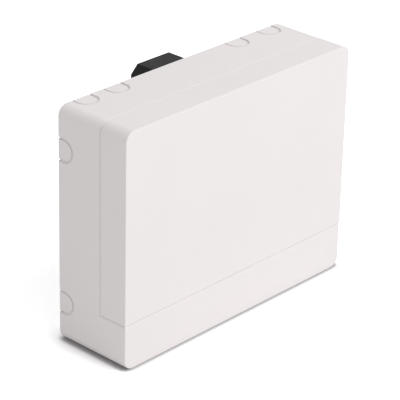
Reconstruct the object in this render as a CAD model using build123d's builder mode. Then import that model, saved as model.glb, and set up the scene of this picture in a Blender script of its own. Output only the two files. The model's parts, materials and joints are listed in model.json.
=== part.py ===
"""Fibre connection box for a 35 mm rail, with four adapter ports facing down.

The box stands on its bottom face. X runs across its width, Y from its front
to its back and Z upwards. The origin is below the middle of the whole object,
on the level of the bottom face. All sizes are in millimetres.
"""

import os

from build123d import *

# Box shell
box_width = 122.0
box_height = 96.0
box_depth = 35.0
corner_radius = 4.3
wall = 2.1
rear_wall = 2.2
front_wall = 2.0
front_round = 0.3
rear_bevel = 0.4
base_bevel = 0.5
cover_bevel = 0.15

# Parting between the cover and the base, which follows an L at each side
cover_depth = 13.0
apron_height = 18.7
parting_gap = 0.12
cover_proud = 0.1
lip_thickness = 0.95
lip_rise = 1.8
lip_clearance = 0.15

# Knock-outs: each a sunk tongue-shaped field inside a groove that runs out at the rear edge
knockout_radius = 4.8
knockout_length = 8.0
knockout_sink = 0.15
knockout_groove = 0.9
knockout_cut = 0.55
knockout_pocket = 0.7
knockout_notch = 1.4
knockout_web = 0.8
knockout_low_z = 16.5
knockout_from_top = 16.9
knockout_from_side = 11.3
knockout_left_spacing = 15.6
knockout_right_spacing = 18.4

# Tongues that guide and hold the cover
tongue_width = 10.0
tongue_thickness = 1.4
tongue_reach = 5.0
tongue_clearance = 0.3
tongue_top_share = 0.27
tongue_from_top = 33.8
guide_rib = 1.2

# Rail and clip
rail_height = 35.0
rail_lip = 1.0
rail_centre_z = 43.0
rail_clearance = 0.2
clip_width = 24.0
clip_depth = 12.0
clip_from_top = 2.1
clip_bottom = 12.0
clip_bevel = 3.5
clip_plate = 5.0
clip_wall = 2.6
clip_edge = 0.5
hook_overlap = 2.0
core_margin = 4.0

# Latch of the clip
latch_width = 16.0
latch_thickness = 3.6
latch_clearance = 0.15
latch_foot_z = 4.9
foot_height = 2.6
window_width = 4.8
window_top_z = 22.6
peg_height = 2.0
pull_slot_width = 7.0
pull_slot_height = 1.6

# Latch spring, a folded steel strip
spring_span = 3.6
spring_strip = 0.3
spring_folds = 6
spring_seat_gap = 0.1
spring_side_gap = 0.3

# Screws
screw_radius = 1.45
pilot_clearance = 0.05
screw_hole_clearance = 0.25
head_radius = 2.7
head_height = 1.9
recess_width = 0.8
recess_span = 3.2
recess_depth = 1.1
boss_radius = 3.2
pilot_depth = 7.0
clip_screw_length = 6.6
boss_screw_length = 7.5

# Wall fixing
wall_hole_radius = 2.2
wall_hole_from_side = 10.9
wall_hole_z = 50.0

# Adapter panel and adapters
port_count = 4
panel_z = 14.6
panel_thickness = 2.0
panel_clearance = 0.4
panel_screw_inset = 4.8
panel_head_gap = 3.45
panel_corner = 1.5
panel_notch = 9.0
adapter_width = 12.8
adapter_thickness = 9.2
adapter_length = 27.0
adapter_flange = 2.0
flange_gap = 2.3
adapter_wall_x = 1.4
adapter_wall_y = 0.85
adapter_step = 0.3
adapter_fit = 0.2
core_web = 2.0
core_fit = 0.1
keyway_width = 2.4
keyway_length = 8.0
sleeve_radius = 1.6
sleeve_bore = 1.25
sleeve_length = 11.4
sleeve_slit = 0.4
sleeve_fit = 0.05
holder_wall = 0.95
holder_length = 13.0
port_margin = 1.1
port_corner = 1.0

# Spring clip round each adapter
clip_sheet = 0.35
clip_fit = 0.05
clip_height = 8.2
clip_gap_to_panel = 0.15
ear_flare = 1.5
ear_width = 4.6

# Fibre tray
tray_side_gap = 3.8
tray_top_gap = 2.2
tray_above_adapters = 6.9
tray_corner = 12.0
tray_floor = 1.5
tray_depth = 8.5
tray_rim = 1.3
tray_standoff = 9.5
hub_radius = 13.0
hub_wall = 1.4
hub_rim_gap = 3.2
hub_gap = 5.0
tab_length = 4.5
tab_width = 6.0
tab_thickness = 1.0
entry_gap = 8.0
entry_inset = 3.0

# Splice holder and splice sleeves
splice_count = 4
splice_radius = 1.5
splice_hub_gap = 2.0
splice_fit = 0.1
comb_share = 0.58
comb_floor = 1.2
comb_rib = 1.3
comb_height = 3.6

# Cable clamp
clamp_inset = 12.8
clamp_panel_gap = 0.2
clamp_adapter_gap = 0.9
clamp_screw_pitch = 16.0
clamp_width = 7.0
clamp_plate = 2.0
clamp_boss_height = 4.6
cable_radius = 3.2
clamp_end = 3.4

# Places worked out from the sizes above
overall_depth = box_depth + clip_depth
front_y = -overall_depth / 2
back_y = front_y + box_depth
clip_back_y = back_y + clip_depth
parting_y = front_y + cover_depth
inside_back_y = back_y - rear_wall
base_width = box_width - 2 * cover_proud
base_top = box_height - cover_proud
base_radius = corner_radius - cover_proud
base_front_y = front_y + cover_proud
inside_width = base_width - 2 * wall
inside_top = base_top - wall
inside_radius = base_radius - wall
inside_front_y = base_front_y + wall
lip_inset = wall - lip_thickness
rebate_wall = cover_proud + lip_inset - lip_clearance
rebate_depth = lip_rise + 2 * lip_clearance
clamp_x = clamp_inset - inside_width / 2
clamp_seat_y = inside_back_y - clamp_boss_height
clamp_front_y = clamp_seat_y - cable_radius - clamp_plate
port_y = clamp_front_y - clamp_adapter_gap - adapter_thickness / 2
panel_screw_x = inside_width / 2 - panel_screw_inset
port_pitch = (2 * (panel_screw_x - head_radius - panel_head_gap) + flange_gap) / port_count
port_places = [(x * port_pitch, port_y) for x in (i - (port_count - 1) / 2 for i in range(port_count))]
adapter_flange_width = port_pitch - flange_gap
panel_top = panel_z + panel_thickness
adapter_low = panel_top - (adapter_length - adapter_flange) / 2
adapter_middle = adapter_low + adapter_length / 2
core_seat_z = adapter_middle - core_web / 2
clamp_z = panel_top + clamp_panel_gap + boss_radius + clamp_screw_pitch / 2
tray_low_z = adapter_low + adapter_length + tray_above_adapters
tray_high_z = inside_top - tray_top_gap
tray_width = inside_width - 2 * tray_side_gap
tray_mid_z = (tray_low_z + tray_high_z) / 2
tray_back_y = inside_back_y - tray_standoff
tray_floor_y = tray_back_y - tray_floor
tray_front_y = tray_back_y - tray_depth
hub_x = tray_width / 2 - tray_rim - hub_radius - hub_rim_gap
splice_length = 2 * (hub_x - hub_radius - splice_hub_gap)
comb_pitch = 2 * splice_radius + splice_fit + comb_rib
splice_y = tray_floor_y - comb_floor - splice_radius - splice_fit / 2
clip_top = base_top - clip_from_top
rail_low = rail_centre_z - rail_height / 2
rail_high = rail_centre_z + rail_height / 2
clip_screw_high_z = (rail_high + clip_top) / 2
clip_screw_low_z = rail_centre_z
rail_seat_y = back_y + clip_plate
hook_y = rail_seat_y + rail_lip + rail_clearance
latch_front_y = hook_y
latch_back_y = latch_front_y + latch_thickness
lower_block_top = rail_low - rail_clearance
peg_low = clip_bottom + 1.0
peg_top = peg_low + peg_height


def facing_front(y):
    """Upright plane at y, whose normal points to the front."""
    return Plane.XZ.offset(-y)


def facing_right(x):
    """Upright plane at x, whose normal points to the right."""
    return Plane.YZ.offset(x)


def level(z):
    """Level plane at height z."""
    return Plane.XY.offset(z)


def rounded_outline(width, low, high, radius, mode=Mode.ADD):
    """Rounded rectangle on an upright plane, centred on the width."""
    with Locations((0, (low + high) / 2)):
        RectangleRounded(width, high - low, radius, mode=mode)


def make_screw(seat, length):
    """Cross-recess screw whose round head stands on the seat plane."""
    with BuildPart() as screw:
        with BuildSketch(seat):
            Circle(head_radius)
        extrude(amount=head_height)
        with BuildSketch(seat.offset(head_height)):
            Rectangle(recess_span, recess_width)
            Rectangle(recess_width, recess_span)
        extrude(amount=-recess_depth, mode=Mode.SUBTRACT)
        with BuildSketch(seat):
            Circle(screw_radius)
        extrude(amount=-length)
    return screw


def save(piece, name):
    """Names the piece and writes it to its own file."""
    piece.part.label = name
    export_step(piece.part, f"parts/{name}.step")


# Base shell: the deep rear tray with the full-depth apron below the cover
arc_y = back_y - knockout_length + knockout_radius
knockout_x = base_width / 2 - knockout_from_side
top_places = (
    -knockout_x,
    -knockout_x + knockout_left_spacing,
    knockout_x - knockout_right_spacing,
    knockout_x,
)
knockout_planes = [Plane((x, arc_y, base_top), x_dir=(0, 1, 0), z_dir=(0, 0, 1)) for x in top_places]
for side in (-1, 1):
    knockout_planes.append(Plane((side * knockout_x, arc_y, 0), x_dir=(0, 1, 0), z_dir=(0, 0, -1)))
    for height in (knockout_low_z, base_top - knockout_from_top):
        place = (side * base_width / 2, arc_y, height)
        knockout_planes.append(Plane(place, x_dir=(0, 1, 0), z_dir=(side, 0, 0)))


def knockout_outline(radius, mode=Mode.ADD):
    """Tongue on a knock-out's plane: round in front, straight back to the rear edge."""
    Circle(radius, mode=mode)
    Rectangle(back_y - arc_y, 2 * radius, align=(Align.MIN, Align.CENTER), mode=mode)


with BuildPart() as base_shell:
    with BuildSketch(facing_front(back_y)):
        rounded_outline(base_width, 0, base_top, base_radius)
    extrude(amount=back_y - parting_y)
    with BuildSketch(facing_front(back_y)):
        rounded_outline(base_width, 0, base_top, base_radius)
        Rectangle(base_width, apron_height, align=(Align.CENTER, Align.MIN), mode=Mode.INTERSECT)
    extrude(amount=back_y - base_front_y)

    # Outer edges: rear, the bevels along the parting, and the apron's front
    chamfer(base_shell.faces().sort_by(Axis.Y)[-1].edges(), rear_bevel)
    tray_rim_face = base_shell.faces().filter_by(Axis.Y).filter_by_position(
        Axis.Y, parting_y - base_bevel, parting_y + base_bevel
    )
    apron_top_face = base_shell.faces().filter_by(Axis.Z).filter_by_position(
        Axis.Z, apron_height - base_bevel, apron_height + base_bevel
    )
    parting_edges = tray_rim_face.edges().filter_by_position(Axis.Z, apron_height + base_bevel, box_height)
    parting_edges += apron_top_face.edges().filter_by_position(Axis.Y, front_y, parting_y - base_bevel)
    chamfer(parting_edges, base_bevel)
    apron_front = base_shell.faces().sort_by(Axis.Y)[0].edges()
    fillet(apron_front.filter_by_position(Axis.Z, -1, apron_height - 2 * base_bevel), front_round)

    # Hollow inside, open towards the cover
    with BuildSketch(facing_front(inside_back_y)):
        rounded_outline(inside_width, wall, inside_top, inside_radius)
    extrude(amount=inside_back_y - parting_y, mode=Mode.SUBTRACT)
    with BuildSketch(facing_front(inside_back_y)):
        rounded_outline(inside_width, wall, inside_top, inside_radius)
        Rectangle(base_width, apron_height, align=(Align.CENTER, Align.MIN), mode=Mode.INTERSECT)
    extrude(amount=inside_back_y - inside_front_y, mode=Mode.SUBTRACT)

    # Locating lip round the opening: along the tray's rim and the apron's top
    with BuildSketch(facing_front(parting_y)):
        rounded_outline(
            base_width - 2 * lip_inset, lip_inset, base_top - lip_inset, base_radius - lip_inset
        )
        rounded_outline(inside_width, wall, inside_top, inside_radius, mode=Mode.SUBTRACT)
        Rectangle(base_width, apron_height, align=(Align.CENTER, Align.MIN), mode=Mode.SUBTRACT)
    extrude(amount=lip_rise)
    with BuildSketch(level(apron_height)):
        with Locations((0, parting_y)):
            Rectangle(
                base_width - 2 * lip_inset,
                parting_y - base_front_y - lip_inset,
                align=(Align.CENTER, Align.MAX),
            )
            Rectangle(
                inside_width,
                parting_y - inside_front_y,
                align=(Align.CENTER, Align.MAX),
                mode=Mode.SUBTRACT,
            )
    extrude(amount=lip_rise)

    # Guide ribs beside the cover's tongues
    tongue_top_x = tongue_top_share * inside_width / 2
    tongue_side_z = inside_top - tongue_from_top
    rib_offset = tongue_width / 2 + tongue_clearance + guide_rib / 2
    rib_height = tongue_clearance + tongue_thickness
    with BuildSketch(facing_front(inside_back_y)):
        for side in (-1, 1):
            for way in (-1, 1):
                with Locations((side * tongue_top_x + way * rib_offset, inside_top)):
                    Rectangle(guide_rib, rib_height, align=(Align.CENTER, Align.MAX))
                rib_x = side * (inside_width - rib_height) / 2
                with Locations((rib_x, tongue_side_z + way * rib_offset)):
                    Rectangle(rib_height, guide_rib)
    extrude(amount=inside_back_y - parting_y)

    # Bosses for the adapter panel, the tray and the cable clamp
    with BuildSketch(level(wall)):
        with Locations((-panel_screw_x, port_y), (panel_screw_x, port_y)):
            Circle(boss_radius)
    extrude(amount=panel_z - wall)
    with BuildSketch(level(panel_z)):
        with Locations((-panel_screw_x, port_y), (panel_screw_x, port_y)):
            Circle(screw_radius + pilot_clearance)
    extrude(amount=-pilot_depth, mode=Mode.SUBTRACT)
    with BuildSketch(facing_front(inside_back_y)):
        with Locations((-hub_x, tray_mid_z), (hub_x, tray_mid_z)):
            Circle(boss_radius)
    extrude(amount=tray_standoff)
    with BuildSketch(facing_front(tray_back_y)):
        with Locations((-hub_x, tray_mid_z), (hub_x, tray_mid_z)):
            Circle(screw_radius + pilot_clearance)
    extrude(amount=-pilot_depth, mode=Mode.SUBTRACT)
    clamp_places = [(clamp_x, clamp_z + way * clamp_screw_pitch / 2) for way in (-1, 1)]
    with BuildSketch(facing_front(inside_back_y)):
        with Locations(clamp_places):
            Circle(boss_radius)
    extrude(amount=clamp_boss_height)
    with BuildSketch(facing_front(clamp_seat_y)):
        with Locations(clamp_places):
            Circle(screw_radius + pilot_clearance)
    extrude(amount=-(clamp_boss_height + rear_wall - 1), mode=Mode.SUBTRACT)

    # Holes through the rear wall: two for wall screws, two for the clip
    with BuildSketch(facing_front(back_y)):
        wall_hole_x = base_width / 2 - wall_hole_from_side
        with Locations((-wall_hole_x, wall_hole_z), (wall_hole_x, wall_hole_z)):
            Circle(wall_hole_radius)
        with Locations((0, clip_screw_high_z), (0, clip_screw_low_z)):
            Circle(screw_radius + screw_hole_clearance)
    extrude(amount=rear_wall, mode=Mode.SUBTRACT)

    # Port openings in the bottom
    with BuildSketch(level(0)):
        with Locations(port_places):
            RectangleRounded(
                adapter_width + 2 * port_margin, adapter_thickness + 2 * port_margin, port_corner
            )
    extrude(amount=wall, mode=Mode.SUBTRACT)

    # Knock-outs: sunk field, groove, notches at the rear edge, and a thinner wall from inside
    for plane in knockout_planes:
        with BuildSketch(plane):
            knockout_outline(knockout_radius)
        extrude(amount=-knockout_sink, mode=Mode.SUBTRACT)
        with BuildSketch(plane):
            knockout_outline(knockout_radius)
            knockout_outline(knockout_radius - knockout_groove, Mode.SUBTRACT)
        extrude(amount=-knockout_cut, mode=Mode.SUBTRACT)
        with BuildSketch(plane):
            for way in (-1, 1):
                with Locations((back_y - arc_y, way * (knockout_radius - knockout_groove / 2))):
                    Rectangle(2 * knockout_notch, knockout_groove)
        extrude(amount=-(wall - knockout_web), mode=Mode.SUBTRACT)
        with BuildSketch(plane.offset(-wall)):
            with Locations((-knockout_radius, 0)):
                Rectangle(
                    inside_back_y - arc_y + knockout_radius,
                    2 * knockout_radius,
                    align=(Align.MIN, Align.CENTER),
                )
        extrude(amount=knockout_pocket, mode=Mode.SUBTRACT)

# Front cover: a shallow tray, open at its lower edge above the apron
cover_rim_y = parting_y - parting_gap
cover_low = apron_height + parting_gap

with BuildPart() as front_cover:
    with BuildSketch(facing_front(cover_rim_y)):
        rounded_outline(box_width, 0, box_height, corner_radius)
        Rectangle(box_width, cover_low, align=(Align.CENTER, Align.MIN), mode=Mode.SUBTRACT)
    extrude(amount=cover_rim_y - front_y)
    cover_front = front_cover.faces().sort_by(Axis.Y)[0].edges()
    fillet(cover_front.filter_by_position(Axis.Z, cover_low + cover_bevel, box_height + 1), front_round)
    chamfer(front_cover.faces().sort_by(Axis.Y)[0].edges().sort_by(Axis.Z)[:1], cover_bevel)
    cover_rim = front_cover.faces().sort_by(Axis.Y)[-1].edges()
    chamfer(cover_rim.filter_by_position(Axis.Z, cover_low + cover_bevel, box_height + 1), cover_bevel)

    # Hollow, then the rebate that takes the base's lip
    with BuildSketch(facing_front(cover_rim_y)):
        rounded_outline(box_width - 2 * wall, 0, box_height - wall, corner_radius - wall)
    extrude(amount=cover_rim_y - front_y - front_wall, mode=Mode.SUBTRACT)
    with BuildSketch(facing_front(cover_rim_y)):
        rounded_outline(
            box_width - 2 * rebate_wall, 0, box_height - rebate_wall, corner_radius - rebate_wall
        )
    extrude(amount=rebate_depth - parting_gap, mode=Mode.SUBTRACT)
    with BuildSketch(level(cover_low)):
        with Locations((0, cover_rim_y)):
            Rectangle(
                box_width - 2 * rebate_wall,
                cover_rim_y - front_y - rebate_wall,
                align=(Align.CENTER, Align.MAX),
            )
    extrude(amount=rebate_depth - parting_gap, mode=Mode.SUBTRACT)

    # Tongues: a root against the cover's wall, and a blade inside the base
    blade_outer = inside_top - tongue_clearance
    blade_side = inside_width / 2 - tongue_clearance
    root_back_y = parting_y - rebate_depth
    root_outset = tongue_clearance + 2 * cover_proud
    for reach_y, outset in ((root_back_y, root_outset), (parting_y + tongue_reach, 0)):
        with BuildSketch(facing_front(reach_y)):
            for side in (-1, 1):
                with Locations((side * tongue_top_x, blade_outer + outset)):
                    Rectangle(
                        tongue_width, tongue_thickness + outset, align=(Align.CENTER, Align.MAX)
                    )
                middle = blade_side + outset - (tongue_thickness + outset) / 2
                with Locations((side * middle, tongue_side_z)):
                    Rectangle(tongue_thickness + outset, tongue_width)
        extrude(amount=reach_y - front_y - front_wall)

# Rail clip: a moulded block with the rail channel across it
with BuildPart() as rail_clip_body:
    with BuildSketch(facing_front(back_y)) as clip_outline:
        with Locations((0, clip_bottom)):
            Rectangle(clip_width, clip_top - clip_bottom, align=(Align.CENTER, Align.MIN))
        chamfer(clip_outline.vertices().group_by(Axis.Z)[-1], clip_bevel)
    extrude(amount=-clip_depth)
    chamfer(rail_clip_body.faces().sort_by(Axis.Y)[-1].edges(), clip_edge)
    with BuildSketch(facing_right(0)):
        with Locations((rail_seat_y, lower_block_top)):
            Rectangle(
                hook_y - rail_seat_y,
                rail_high + rail_clearance - lower_block_top,
                align=(Align.MIN, Align.MIN),
            )
        with Locations((hook_y, lower_block_top)):
            Rectangle(
                clip_back_y - hook_y,
                rail_high - hook_overlap - lower_block_top,
                align=(Align.MIN, Align.MIN),
            )
    extrude(amount=clip_width / 2, both=True, mode=Mode.SUBTRACT)

    # Cored-out upper block, with a rib left in the middle
    core_low = rail_high + core_margin
    core_high = clip_top - clip_bevel
    core_width = (clip_width - 3 * clip_wall) / 2
    with BuildSketch(facing_front(clip_back_y)):
        for side in (-1, 1):
            with Locations((side * (core_width + clip_wall) / 2, core_low)):
                Rectangle(core_width, core_high - core_low, align=(Align.CENTER, Align.MIN))
    extrude(amount=clip_depth - clip_plate, mode=Mode.SUBTRACT)

    # Pocket for the latch, with the peg that the spring stands on
    pocket_width = latch_width + 2 * latch_clearance
    pocket_front_y = latch_front_y - latch_clearance
    pocket_back_y = latch_back_y + latch_clearance
    with BuildSketch(level(clip_bottom)):
        with Locations((0, pocket_front_y)):
            Rectangle(pocket_width, pocket_back_y - pocket_front_y, align=(Align.CENTER, Align.MIN))
    extrude(amount=lower_block_top - clip_bottom, mode=Mode.SUBTRACT)
    with BuildSketch(level(peg_low)):
        with Locations((0, pocket_front_y)):
            Rectangle(
                window_width - 2 * latch_clearance,
                pocket_back_y - pocket_front_y,
                align=(Align.CENTER, Align.MIN),
            )
    extrude(amount=peg_height)
    with BuildSketch(facing_front(back_y)):
        with Locations((0, clip_screw_high_z), (0, clip_screw_low_z)):
            Circle(screw_radius + pilot_clearance)
    extrude(amount=-clip_plate, mode=Mode.SUBTRACT)

# Latch: slides down in the clip to let go of the rail's lower lip
hook_top = rail_low + hook_overlap
foot_back_y = clip_back_y - clip_edge
window_low_z = peg_low - latch_clearance

with BuildPart() as rail_latch:
    with BuildSketch(facing_right(0)):
        with BuildLine():
            Polyline(
                (latch_front_y, latch_foot_z),
                (latch_front_y, hook_top),
                (latch_front_y + latch_thickness / 3, hook_top),
                (latch_back_y, hook_top - 2 * latch_thickness / 3),
                (latch_back_y, latch_foot_z + foot_height),
                (foot_back_y, latch_foot_z + foot_height),
                (foot_back_y, latch_foot_z),
                close=True,
            )
        make_face()
    extrude(amount=latch_width / 2, both=True)
    with BuildSketch(facing_front(latch_front_y)):
        with Locations((0, window_low_z)):
            Rectangle(window_width, window_top_z - window_low_z, align=(Align.CENTER, Align.MIN))
        with Locations((0, latch_foot_z + foot_height + pull_slot_height)):
            Rectangle(pull_slot_width, pull_slot_height)
    extrude(amount=-latch_thickness, mode=Mode.SUBTRACT)
    chamfer(rail_latch.faces().sort_by(Axis.Z)[0].edges().filter_by(Axis.Y), clip_edge)

# Spring folded between the peg and the top of the latch's window
spring_low = peg_top + spring_seat_gap + spring_strip / 2
spring_rise = (window_top_z - spring_seat_gap - spring_strip / 2 - spring_low) / spring_folds
fold_points = [(-spring_span / 2, spring_low)]
for fold in range(spring_folds + 1):
    fold_points.append(((-1) ** fold * spring_span / 2, spring_low + fold * spring_rise))
fold_points.append((-fold_points[-1][0], fold_points[-1][1]))

with BuildPart() as latch_spring:
    with BuildSketch(facing_front(latch_back_y - spring_side_gap)):
        for (start_x, start_z), (end_x, end_z) in zip(fold_points, fold_points[1:]):
            Polygon(
                (start_x, start_z - spring_strip / 2),
                (end_x, end_z - spring_strip / 2),
                (end_x, end_z + spring_strip / 2),
                (start_x, start_z + spring_strip / 2),
                align=None,
            )
    extrude(amount=latch_thickness - 2 * spring_side_gap)

# Adapter panel: drops onto two bosses inside the apron
panel_front_y = inside_front_y + panel_clearance
panel_back_y = inside_back_y - panel_clearance

with BuildPart() as adapter_panel:
    with BuildSketch(level(panel_z)):
        with Locations((0, (panel_front_y + panel_back_y) / 2)):
            RectangleRounded(
                inside_width - 2 * panel_clearance, panel_back_y - panel_front_y, panel_corner
            )
        for side in (-1, 1):
            with Locations((side * inside_width / 2, panel_back_y)):
                Rectangle(2 * panel_notch, 2 * panel_notch, mode=Mode.SUBTRACT)
        with Locations(port_places):
            Rectangle(
                adapter_width + 2 * adapter_fit, adapter_thickness + 2 * adapter_fit, mode=Mode.SUBTRACT
            )
        with Locations((-panel_screw_x, port_y), (panel_screw_x, port_y)):
            Circle(screw_radius + screw_hole_clearance, mode=Mode.SUBTRACT)
    extrude(amount=panel_thickness)


def make_adapter(x):
    """Outer housing of a fibre adapter: a stepped square tube with a flange."""
    socket_x = adapter_width - 2 * adapter_wall_x
    socket_y = adapter_thickness - 2 * adapter_wall_y
    with BuildPart() as adapter:
        with BuildSketch(Plane((x, port_y, adapter_low))):
            Rectangle(adapter_width, adapter_thickness)
        extrude(amount=adapter_length)
        with BuildSketch(Plane((x, port_y, panel_top))):
            Rectangle(adapter_flange_width, adapter_thickness)
        extrude(amount=adapter_flange)
        with BuildSketch(Plane((x, port_y, adapter_low))):
            Rectangle(socket_x, socket_y)
        extrude(amount=adapter_length, mode=Mode.SUBTRACT)
        with BuildSketch(Plane((x, port_y, core_seat_z))):
            Rectangle(socket_x + 2 * adapter_step, socket_y + 2 * adapter_step)
        extrude(amount=adapter_low + adapter_length - core_seat_z, mode=Mode.SUBTRACT)
        for height, way in ((adapter_low, 1), (adapter_low + adapter_length, -1)):
            with BuildSketch(Plane((x, port_y + adapter_thickness / 2, height))):
                Rectangle(keyway_width, 2 * adapter_wall_y)
            extrude(amount=way * keyway_length, mode=Mode.SUBTRACT)
    return adapter


def make_adapter_core(x):
    """Core of an adapter: a plate on the housing's step, with the sleeve's holder."""
    plate_x = adapter_width - 2 * (adapter_wall_x - adapter_step + core_fit)
    plate_y = adapter_thickness - 2 * (adapter_wall_y - adapter_step + core_fit)
    with BuildPart() as core:
        with BuildSketch(Plane((x, port_y, core_seat_z))):
            Rectangle(plate_x, plate_y)
        extrude(amount=core_web)
        with BuildSketch(Plane((x, port_y, adapter_middle - holder_length / 2))):
            Circle(sleeve_radius + sleeve_fit + holder_wall)
        extrude(amount=holder_length)
        with BuildSketch(Plane((x, port_y, adapter_middle - holder_length / 2))):
            Circle(sleeve_radius + sleeve_fit)
        extrude(amount=holder_length, mode=Mode.SUBTRACT)
    return core


def make_sleeve(x):
    """Slit ceramic tube that lines two ferrules up inside an adapter."""
    with BuildPart() as sleeve:
        with BuildSketch(Plane((x, port_y, adapter_middle - sleeve_length / 2))):
            Circle(sleeve_radius)
            Circle(sleeve_bore, mode=Mode.SUBTRACT)
            Rectangle(
                2 * sleeve_radius, sleeve_slit, align=(Align.MIN, Align.CENTER), mode=Mode.SUBTRACT
            )
        extrude(amount=sleeve_length)
    return sleeve


def make_adapter_clip(x):
    """Sheet steel clip round three sides of an adapter, with two sprung ears."""
    inner_x = adapter_width / 2 + clip_fit
    outer_x = inner_x + clip_sheet
    inner_y = adapter_thickness / 2 + clip_fit
    clip_high = panel_z - clip_gap_to_panel
    with BuildPart() as clip:
        with BuildSketch(Plane((x, port_y - inner_y - clip_sheet, clip_high - clip_height))):
            Rectangle(2 * outer_x, 2 * inner_y, align=(Align.CENTER, Align.MIN))
            with Locations((0, clip_sheet)):
                Rectangle(2 * inner_x, 2 * inner_y, align=(Align.CENTER, Align.MIN), mode=Mode.SUBTRACT)
        extrude(amount=clip_height)
        for side in (-1, 1):
            with BuildSketch(Plane((x, port_y, 0), x_dir=(side, 0, 0), z_dir=(0, -side, 0))):
                with BuildLine():
                    Polyline(
                        (outer_x - clip_sheet, clip_high - clip_height / 2),
                        (outer_x, clip_high - clip_height / 2),
                        (outer_x + ear_flare, clip_high - clip_sheet),
                        (outer_x + ear_flare, clip_high),
                        (outer_x + ear_flare - clip_sheet, clip_high),
                        close=True,
                    )
                make_face()
            extrude(amount=ear_width / 2, both=True)
    return clip


# Fibre tray: floor, rim, two hubs to wind the fibre round, and tabs over it
rim_inner_width = tray_width - 2 * tray_rim
rim_tabs = []
for across in (-rim_inner_width / 4, rim_inner_width / 4):
    rim_tabs.append((across, tray_high_z - tray_rim - tab_length / 2, tab_width, tab_length))
    rim_tabs.append((across / 2, tray_low_z + tray_rim + tab_length / 2, tab_width, tab_length))
for side in (-1, 1):
    rim_tabs.append(
        (side * (rim_inner_width - tab_length) / 2, tray_mid_z, tab_length, tab_width)
    )
hub_tab_x = hub_x - hub_radius - tab_length / 2 + hub_wall / 2
hub_tabs = [(side * hub_tab_x, tray_mid_z, tab_length, tab_width) for side in (-1, 1)]
entry_x = tray_width / 2 - tray_corner - entry_inset

with BuildPart() as fibre_tray:
    with BuildSketch(facing_front(tray_back_y)):
        rounded_outline(tray_width, tray_low_z, tray_high_z, tray_corner)
    extrude(amount=tray_floor)
    with BuildSketch(facing_front(tray_back_y)):
        rounded_outline(tray_width, tray_low_z, tray_high_z, tray_corner)
        rounded_outline(
            rim_inner_width,
            tray_low_z + tray_rim,
            tray_high_z - tray_rim,
            tray_corner - tray_rim,
            Mode.SUBTRACT,
        )
        with Locations((-hub_x, tray_mid_z), (hub_x, tray_mid_z)):
            Circle(hub_radius)
            Circle(hub_radius - hub_wall, mode=Mode.SUBTRACT)
    extrude(amount=tray_depth)

    # Gaps where the fibre enters the tray and passes into the hubs
    with BuildSketch(facing_front(tray_floor_y)):
        with Locations((-entry_x, tray_low_z), (entry_x, tray_low_z)):
            Rectangle(entry_gap, 4 * tray_rim)
        for side in (-1, 1):
            with Locations((side * hub_x, tray_mid_z - hub_radius), (side * hub_x, tray_mid_z + hub_radius)):
                Rectangle(hub_gap, 4 * hub_wall)
    extrude(amount=tray_depth - tray_floor, mode=Mode.SUBTRACT)

    # Tabs at the front edge, each over an opening in the floor
    with BuildSketch(facing_front(tray_front_y + tab_thickness)):
        for across, height, wide, high in rim_tabs + hub_tabs:
            with Locations((across, height)):
                Rectangle(wide, high)
    extrude(amount=tab_thickness)
    with BuildSketch(facing_front(tray_back_y)):
        for across, height, wide, high in rim_tabs:
            with Locations((across, height)):
                Rectangle(wide, high)
        with Locations((-hub_x, tray_mid_z), (hub_x, tray_mid_z)):
            Circle(screw_radius + screw_hole_clearance)
    extrude(amount=tray_floor, mode=Mode.SUBTRACT)

# Splice holder: a soft comb with one groove for each splice
comb_span = splice_count * comb_pitch + comb_rib
comb_length = comb_share * splice_length

with BuildPart() as splice_holder:
    with BuildSketch(facing_front(tray_floor_y)):
        with Locations((0, tray_mid_z)):
            Rectangle(comb_length, comb_span)
    extrude(amount=comb_floor)
    with BuildSketch(facing_front(tray_floor_y - comb_floor)):
        with Locations((0, tray_mid_z)):
            with GridLocations(comb_length, comb_pitch, 1, splice_count + 1):
                Rectangle(comb_length, comb_rib)
    extrude(amount=comb_height)


def make_splice_sleeve(index):
    """Protector rod that lies in one groove of the splice holder."""
    height = tray_mid_z + (index - (splice_count - 1) / 2) * comb_pitch
    with BuildPart() as sleeve:
        with BuildSketch(facing_right(-splice_length / 2)):
            with Locations((splice_y, height)):
                Circle(splice_radius)
        extrude(amount=splice_length)
    return sleeve


# Cable clamp: an arched bar over two bosses on the rear wall
with BuildPart() as cable_clamp:
    clamp_length = clamp_screw_pitch + 2 * clamp_end
    with BuildSketch(facing_right(clamp_x)):
        with Locations((clamp_seat_y - clamp_plate / 2, clamp_z)):
            Rectangle(clamp_plate, clamp_length)
        with Locations((clamp_seat_y, clamp_z)):
            Circle(cable_radius + clamp_plate)
            Circle(cable_radius, mode=Mode.SUBTRACT)
            Rectangle(
                cable_radius + clamp_plate, clamp_length, align=(Align.MIN, Align.CENTER), mode=Mode.SUBTRACT
            )
    extrude(amount=clamp_width / 2, both=True)
    with BuildSketch(facing_front(clamp_seat_y)):
        with Locations(clamp_places):
            Circle(screw_radius + screw_hole_clearance)
    extrude(amount=clamp_plate, mode=Mode.SUBTRACT)


# Screws: two hold the clip, two each the panel, the tray and the clamp bar
def upright_seat(x, y, z):
    """Seat for a screw whose head faces the front."""
    return Plane((x, y, z), x_dir=(1, 0, 0), z_dir=(0, -1, 0))


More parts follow.
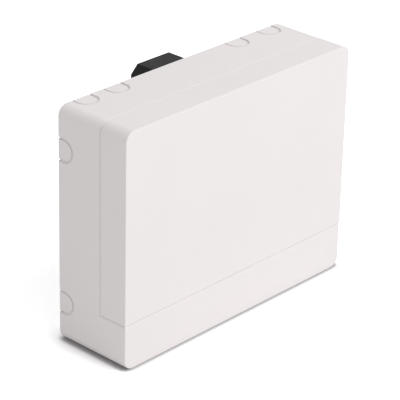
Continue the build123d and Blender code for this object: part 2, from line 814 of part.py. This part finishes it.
os.makedirs("parts", exist_ok=True)
save(base_shell, "base_shell")
save(front_cover, "front_cover")
save(rail_clip_body, "rail_clip_body")
save(rail_latch, "rail_latch")
save(latch_spring, "latch_spring")
save(adapter_panel, "adapter_panel")
save(fibre_tray, "fibre_tray")
save(splice_holder, "splice_holder")
save(cable_clamp, "cable_clamp")
for number, (port_x, _) in enumerate(port_places, start=1):
    save(make_adapter(port_x), f"adapter_{number}")
    save(make_adapter_core(port_x), f"adapter_core_{number}")
    save(make_adapter_clip(port_x), f"adapter_clip_{number}")
    save(make_sleeve(port_x), f"alignment_sleeve_{number}")
for number in range(splice_count):
    save(make_splice_sleeve(number), f"splice_sleeve_{number + 1}")
save(make_screw(upright_seat(0, inside_back_y, clip_screw_high_z), clip_screw_length), "clip_screw_upper")
save(make_screw(upright_seat(0, inside_back_y, clip_screw_low_z), clip_screw_length), "clip_screw_lower")
for word, side in (("left", -1), ("right", 1)):
    panel_seat = Plane((side * panel_screw_x, port_y, panel_top))
    save(make_screw(panel_seat, boss_screw_length), f"panel_screw_{word}")
    tray_seat = upright_seat(side * hub_x, tray_floor_y, tray_mid_z)
    save(make_screw(tray_seat, boss_screw_length), f"tray_screw_{word}")
for word, (across, height) in zip(("lower", "upper"), clamp_places):
    clamp_seat = upright_seat(across, clamp_seat_y - clamp_plate, height)
    save(make_screw(clamp_seat, boss_screw_length), f"clamp_screw_{word}")
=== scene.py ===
import json
from math import radians

import bpy
from mathutils import Matrix, Vector


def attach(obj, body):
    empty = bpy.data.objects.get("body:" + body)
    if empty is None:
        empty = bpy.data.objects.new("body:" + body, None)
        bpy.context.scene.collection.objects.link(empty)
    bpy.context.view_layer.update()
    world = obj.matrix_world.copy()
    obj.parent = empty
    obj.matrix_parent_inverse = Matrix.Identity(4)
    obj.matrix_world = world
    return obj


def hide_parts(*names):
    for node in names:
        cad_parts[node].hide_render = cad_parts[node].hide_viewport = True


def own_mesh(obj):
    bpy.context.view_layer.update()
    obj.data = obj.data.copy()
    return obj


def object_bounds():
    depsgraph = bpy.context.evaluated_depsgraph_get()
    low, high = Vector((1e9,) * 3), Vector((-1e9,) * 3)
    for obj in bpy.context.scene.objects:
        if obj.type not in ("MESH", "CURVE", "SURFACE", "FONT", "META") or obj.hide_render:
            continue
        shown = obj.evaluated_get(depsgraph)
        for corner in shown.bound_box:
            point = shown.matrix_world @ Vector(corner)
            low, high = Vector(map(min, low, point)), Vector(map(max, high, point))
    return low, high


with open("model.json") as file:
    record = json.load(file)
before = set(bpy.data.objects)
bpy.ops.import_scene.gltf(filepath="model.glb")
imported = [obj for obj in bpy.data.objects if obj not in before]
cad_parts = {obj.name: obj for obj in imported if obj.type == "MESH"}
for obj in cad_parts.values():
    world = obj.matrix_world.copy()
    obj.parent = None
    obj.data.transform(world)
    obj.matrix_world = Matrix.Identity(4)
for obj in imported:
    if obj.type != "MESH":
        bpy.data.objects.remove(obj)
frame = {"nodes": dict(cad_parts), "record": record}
nodes = frame["nodes"]
cad_low, cad_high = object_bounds()

# Photograph: a square of 400 pixels, seen through a long lens
PHOTO_PIXELS = 400
FOCAL_PIXELS = 2087.7
SENSOR_WIDTH = 36.0
CAMERA_YAW = radians(47.372)
CAMERA_PITCH = radians(25.878)
CAMERA_ROLL = radians(1.338)
CAMERA_NEAR = 0.01
CAMERA_FAR = 20.0
BOX_FRONT_FROM_CAMERA = Vector((0.01408, 0.04474, 0.80817))

# Studio: even light, one soft box, and a floor that shows white
WORLD_LEVEL = 0.61
WORLD_SEEN = 1.0
KEY_POWER = 12.0
KEY_SIZE = 1.2
KEY_FROM = Vector((0.50, -1.08, 1.06))
FLOOR_SIZE = 6.0
FLOOR_PAINT = 0.9
FLOOR_SEEN = 1.78
FLOOR_MIRRORED = 1.1
FLOOR_DROP = 0.00005

# Contact shadow: a wide soft part and a narrow dense one
CONTACT_REACH = (0.009, 0.0026)
CONTACT_DEPTH = (0.9, 2.4)
CONTACT_LEAST = 0.2
CONTACT_SAMPLES = 16

# Colours, linear
SHELL_WHITE = (0.86, 0.816, 0.818)
CLIP_BLACK = (0.021, 0.0205, 0.021)
PANEL_WHITE = (0.78, 0.76, 0.75)
TRAY_WHITE = (0.80, 0.79, 0.77)
ADAPTER_GREEN = (0.02, 0.27, 0.09)
HOLDER_GREY = (0.055, 0.055, 0.06)
CORE_WHITE = (0.74, 0.74, 0.71)
CERAMIC = (0.88, 0.86, 0.80)
SPLICE_MILK = (0.70, 0.72, 0.72)
ZINC = (0.44, 0.44, 0.43)
SPRING_STEEL = (0.50, 0.50, 0.51)

# Noise values that the finishes use, the rest being clamped
NOISE_LOW = 0.3
NOISE_HIGH = 0.7

# Moulded plastic: noise scales per metre, and how far each finish varies
FLOW_SCALE = 28.0
GLOSS_SCALE = 160.0
GLOSS_CHANGE = 0.05
GRAIN_STRENGTH = 0.35
ROUNDING_SAMPLES = 6
SCATTER_REACH = 0.001

# Plated metal: drawing lines along Z, with their darkest and lightest tone
BRUSHED_STRETCH = (900.0, 900.0, 60.0)
BRUSHED_SCALE = 3.0
BRUSHED_DARK = 0.88
BRUSHED_LIGHT = 1.1
BRUSHED_CHANGE = 0.07


def new_material(name):
    """Empty node material, with its tree, shader and object coordinates."""
    material = bpy.data.materials.new(name)
    material.use_nodes = True
    tree = material.node_tree
    tree.nodes.clear()
    shader = tree.nodes.new("ShaderNodeBsdfPrincipled")
    output = tree.nodes.new("ShaderNodeOutputMaterial")
    tree.links.new(shader.outputs["BSDF"], output.inputs["Surface"])
    place = tree.nodes.new("ShaderNodeTexCoord").outputs["Object"]
    return material, tree, shader, place


def noise(tree, place, scale, detail=2.0):
    """Noise value over the given coordinates, with cells 1/scale of their unit across."""
    texture = tree.nodes.new("ShaderNodeTexNoise")
    texture.inputs["Scale"].default_value = scale
    texture.inputs["Detail"].default_value = detail
    tree.links.new(place, texture.inputs["Vector"])
    return texture.outputs["Fac"]


def spread(tree, source, low, high):
    """Maps a noise value to a range."""
    mapping = tree.nodes.new("ShaderNodeMapRange")
    mapping.inputs["From Min"].default_value = NOISE_LOW
    mapping.inputs["From Max"].default_value = NOISE_HIGH
    mapping.inputs["To Min"].default_value = low
    mapping.inputs["To Max"].default_value = high
    tree.links.new(source, mapping.inputs["Value"])
    return mapping.outputs["Result"]


def vary_tone(tree, shader, source, colour, dark, light):
    """Base colour that runs with a noise value from a darker to a lighter tone."""
    tone = tree.nodes.new("ShaderNodeMixRGB")
    tone.inputs["Color1"].default_value = (*[c * dark for c in colour], 1)
    tone.inputs["Color2"].default_value = (*[min(1.0, c * light) for c in colour], 1)
    tree.links.new(spread(tree, source, 0.0, 1.0), tone.inputs["Fac"])
    tree.links.new(tone.outputs["Color"], shader.inputs["Base Color"])


def vary_gloss(tree, shader, source, roughness, change):
    """Roughness that runs with a noise value around its middle."""
    uneven = spread(tree, source, roughness - change, roughness + change)
    tree.links.new(uneven, shader.inputs["Roughness"])


def moulded_plastic(
    name, colour, roughness, grain=2600.0, depth=0.00002, shade=0.02, edge=0.00015,
    specular=0.4, scatter=0.0
):
    """Injection-moulded plastic: fine spark grain, faint flow marks, softly rounded edges."""
    material, tree, shader, place = new_material(name)
    vary_tone(tree, shader, noise(tree, place, FLOW_SCALE), colour, 1 - shade, 1 + shade)
    vary_gloss(tree, shader, noise(tree, place, GLOSS_SCALE, detail=3.0), roughness, GLOSS_CHANGE)
    rounding = tree.nodes.new("ShaderNodeBevel")
    rounding.samples = ROUNDING_SAMPLES
    rounding.inputs["Radius"].default_value = edge
    bump = tree.nodes.new("ShaderNodeBump")
    bump.inputs["Strength"].default_value = GRAIN_STRENGTH
    bump.inputs["Distance"].default_value = depth
    tree.links.new(noise(tree, place, grain), bump.inputs["Height"])
    tree.links.new(rounding.outputs["Normal"], bump.inputs["Normal"])
    tree.links.new(bump.outputs["Normal"], shader.inputs["Normal"])
    shader.inputs["Specular IOR Level"].default_value = specular
    if scatter:
        shader.inputs["Subsurface Weight"].default_value = scatter
        shader.inputs["Subsurface Scale"].default_value = SCATTER_REACH
    return material


def plated_metal(name, colour, roughness):
    """Plated or drawn steel: metal with fine drawing lines and uneven gloss."""
    material, tree, shader, place = new_material(name)
    shader.inputs["Metallic"].default_value = 1.0
    stretch = tree.nodes.new("ShaderNodeMapping")
    stretch.inputs["Scale"].default_value = BRUSHED_STRETCH
    tree.links.new(place, stretch.inputs["Vector"])
    lines = noise(tree, stretch.outputs["Vector"], BRUSHED_SCALE)
    vary_tone(tree, shader, lines, colour, BRUSHED_DARK, BRUSHED_LIGHT)
    vary_gloss(tree, shader, lines, roughness, BRUSHED_CHANGE)
    return material


def paint(node_name, material):
    """Puts one material on a carried-over node."""
    data = nodes[node_name].data
    data.materials.clear()
    data.materials.append(material)


# Finishes of the carried-over nodes, by the record's material slots
slot_finish = {
    "shell": moulded_plastic("shell_plastic", SHELL_WHITE, roughness=0.42, shade=0.008, edge=0.0003),
    "clip": moulded_plastic(
        "clip_plastic", CLIP_BLACK, roughness=0.45, grain=1800.0, shade=0.08, specular=0.07
    ),
    "panel": moulded_plastic("panel_plastic", PANEL_WHITE, roughness=0.45),
    "tray": moulded_plastic("tray_plastic", TRAY_WHITE, roughness=0.40),
    "adapter": moulded_plastic("adapter_plastic", ADAPTER_GREEN, roughness=0.35, shade=0.04),
    "core": moulded_plastic("core_plastic", CORE_WHITE, roughness=0.38),
    "holder": moulded_plastic("holder_rubber", HOLDER_GREY, roughness=0.75, grain=1400.0, shade=0.06),
    "ceramic": moulded_plastic("ceramic", CERAMIC, roughness=0.15, grain=6000.0, depth=0.000004),
    "splice": moulded_plastic("splice_film", SPLICE_MILK, roughness=0.22, shade=0.03, scatter=0.3),
    "steel": plated_metal("zinc", ZINC, roughness=0.36),
}
for entry in frame["record"]["subparts"]:
    paint(entry["node"], slot_finish[entry["material_slot"]])
paint("latch_spring", plated_metal("spring_steel", SPRING_STEEL, roughness=0.25))

# The folded spring: a copy of the latch spring with its own mesh, carried by the housing, in place of
# the hidden original
folded_spring = bpy.data.objects.new("folded_spring", nodes["latch_spring"].data.copy())
bpy.context.scene.collection.objects.link(folded_spring)
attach(folded_spring, "housing")
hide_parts("latch_spring")
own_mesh(folded_spring)

# Camera, placed in the frame of the box's front face
turn = Matrix.Rotation(CAMERA_ROLL, 3, "Z") @ Matrix.Rotation(CAMERA_PITCH, 3, "X")
upright = Matrix(((1, 0, 0), (0, 0, -1), (0, 1, 0)))
view = turn @ upright @ Matrix.Rotation(CAMERA_YAW, 3, "Z")
camera_data = bpy.data.cameras.new("camera")
camera_data.sensor_width = SENSOR_WIDTH
camera_data.sensor_fit = "HORIZONTAL"
camera_data.lens = SENSOR_WIDTH * FOCAL_PIXELS / PHOTO_PIXELS
camera_data.clip_start = CAMERA_NEAR
camera_data.clip_end = CAMERA_FAR
camera = bpy.data.objects.new("camera", camera_data)
bpy.context.scene.collection.objects.link(camera)
camera_place = -(view.transposed() @ BOX_FRONT_FROM_CAMERA) + Vector((0, cad_low.y, 0))
facing = Matrix((view[0], -view[1], -view[2])).transposed()
camera.matrix_world = Matrix.Translation(camera_place) @ facing.to_4x4()
bpy.context.scene.camera = camera


def calculate(tree, operation, *values):
    """Result of one sum on sockets or plain numbers."""
    node = tree.nodes.new("ShaderNodeMath")
    node.operation = operation
    for socket, value in zip(node.inputs, values):
        if isinstance(value, bpy.types.NodeSocket):
            tree.links.new(value, socket)
        else:
            socket.default_value = value
    return node.outputs["Value"]


def seen_directly(tree):
    """1 on rays from the camera and on its mirror and glass rays, otherwise 0."""
    path = tree.nodes.new("ShaderNodeLightPath").outputs
    mirrored = calculate(tree, "MAXIMUM", path["Is Glossy Ray"], path["Is Transmission Ray"])
    return calculate(tree, "MAXIMUM", path["Is Camera Ray"], mirrored)


def choose(tree, unseen, shown, output):
    """Leads one shader to the output for light, and another where it is seen directly."""
    choice = tree.nodes.new("ShaderNodeMixShader")
    tree.links.new(seen_directly(tree), choice.inputs["Fac"])
    tree.links.new(unseen.outputs[0], choice.inputs[1])
    tree.links.new(shown.outputs[0], choice.inputs[2])
    tree.links.new(choice.outputs["Shader"], output.inputs["Surface"])


def contact_shadow(tree):
    """1 on the open floor, falling towards what stands on it."""
    shades = []
    for reach, depth in zip(CONTACT_REACH, CONTACT_DEPTH):
        openness = tree.nodes.new("ShaderNodeAmbientOcclusion")
        openness.samples = CONTACT_SAMPLES
        openness.inputs["Distance"].default_value = reach
        shades.append(calculate(tree, "POWER", openness.outputs["AO"], depth))
    both = calculate(tree, "MULTIPLY", *shades)
    return calculate(tree, "MULTIPLY_ADD", both, 1 - CONTACT_LEAST, CONTACT_LEAST)


def floor_material():
    """Pale paint for the light on the object, whiter where it is seen, with the contact shadow."""
    material = bpy.data.materials.new("floor_paint")
    material.use_nodes = True
    tree = material.node_tree
    tree.nodes.clear()
    plain = tree.nodes.new("ShaderNodeBsdfDiffuse")
    plain.inputs["Color"].default_value = (FLOOR_PAINT, FLOOR_PAINT, FLOOR_PAINT, 1)
    to_camera = tree.nodes.new("ShaderNodeLightPath").outputs["Is Camera Ray"]
    whiten = calculate(tree, "MULTIPLY_ADD", to_camera, FLOOR_SEEN - FLOOR_MIRRORED, FLOOR_MIRRORED)
    seen = tree.nodes.new("ShaderNodeBsdfDiffuse")
    tree.links.new(calculate(tree, "MULTIPLY", contact_shadow(tree), whiten), seen.inputs["Color"])
    choose(tree, plain, seen, tree.nodes.new("ShaderNodeOutputMaterial"))
    return material


# Floor, just below the part
half = FLOOR_SIZE / 2
corners = [(-half, -half, 0), (half, -half, 0), (half, half, 0), (-half, half, 0)]
floor_mesh = bpy.data.meshes.new("floor")
floor_mesh.from_pydata(corners, [], [(0, 1, 2, 3)])
floor_mesh.materials.append(floor_material())
floor = bpy.data.objects.new("floor", floor_mesh)
bpy.context.scene.collection.objects.link(floor)
floor.location.z = -FLOOR_DROP

# World: even light, white where it is seen
world = bpy.data.worlds.new("studio")
bpy.context.scene.world = world
world.use_nodes = True
world_tree = world.node_tree
world_tree.nodes.clear()
skies = []
for level in (WORLD_LEVEL, WORLD_SEEN):
    sky = world_tree.nodes.new("ShaderNodeBackground")
    sky.inputs["Color"].default_value = (1, 1, 1, 1)
    sky.inputs["Strength"].default_value = level
    skies.append(sky)
choose(world_tree, *skies, world_tree.nodes.new("ShaderNodeOutputWorld"))

# Key light: a square soft box that faces the middle of the part
middle = (cad_low + cad_high) / 2
key_data = bpy.data.lights.new("key", "AREA")
key_data.energy = KEY_POWER
key_data.size = KEY_SIZE
key = bpy.data.objects.new("key", key_data)
key.location = middle + KEY_FROM
key.rotation_euler = (-KEY_FROM).to_track_quat("-Z", "Y").to_euler()
bpy.context.scene.collection.objects.link(key)

bpy.context.scene.view_settings.view_transform = "Standard"
